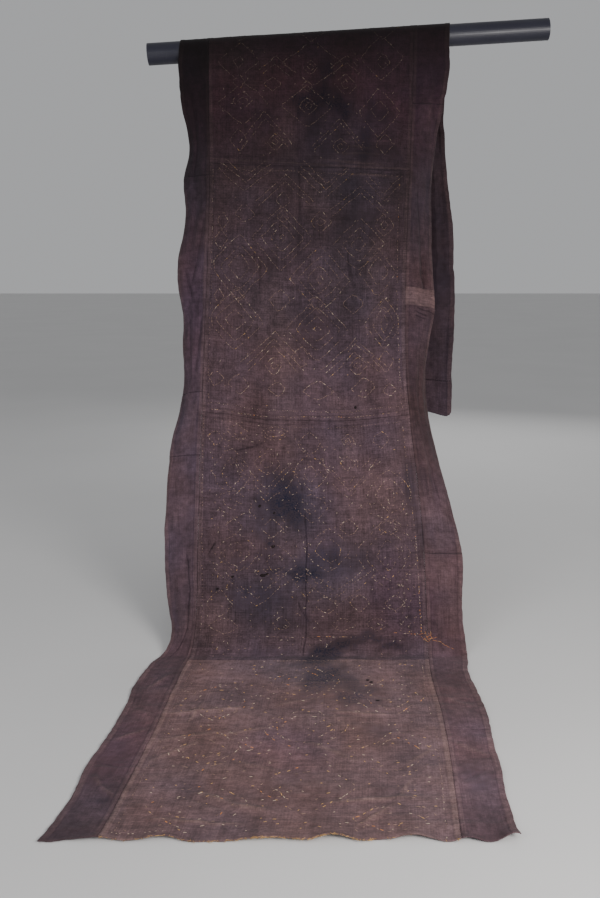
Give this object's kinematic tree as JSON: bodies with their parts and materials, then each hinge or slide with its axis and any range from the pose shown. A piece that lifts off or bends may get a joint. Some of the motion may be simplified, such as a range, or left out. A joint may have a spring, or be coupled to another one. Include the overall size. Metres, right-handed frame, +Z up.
{
  "type": "kuba cloth on a rod",
  "caption": "Long pieced raffia cloth draped over a round rod: short fall behind, long fall in front that sweeps to the floor and lies on it.",
  "frame": {"origin": "on the rod's axis, halfway along the rod", "axes": "+Z up; +X to the right as seen from the front, along the rod's run; -Y towards the viewer, the way the cloth runs out on the floor"},
  "size_m": [1.1416, 1.5286, 1.6088],
  "materials": {
    "raffia_dark": "matte dark-dyed raffia weave",
    "raffia_light": "matte paler dyed raffia weave",
    "raffia_border": "matte dark plain raffia weave",
    "raffia_patch": "matte plain raffia weave, a little paler",
    "rod_paint": "satin blue-black paint"
  },
  "bodies": {
    "root": {"panel_floor": "raffia_light", "panel_lower": "raffia_dark", "panel_middle": "raffia_dark", "panel_top": "raffia_dark", "panel_back": "raffia_dark", "border_left_1": "raffia_border", "border_left_2": "raffia_border", "border_left_3": "raffia_border", "border_left_4": "raffia_border", "border_left_5": "raffia_border", "border_right_1": "raffia_border", "border_right_2": "raffia_border", "border_right_3": "raffia_border", "border_right_4": "raffia_patch", "border_right_5": "raffia_border", "border_right_6": "raffia_border", "border_right_7": "raffia_border", "rod": "rod_paint"}
  },
  "joints": []
}
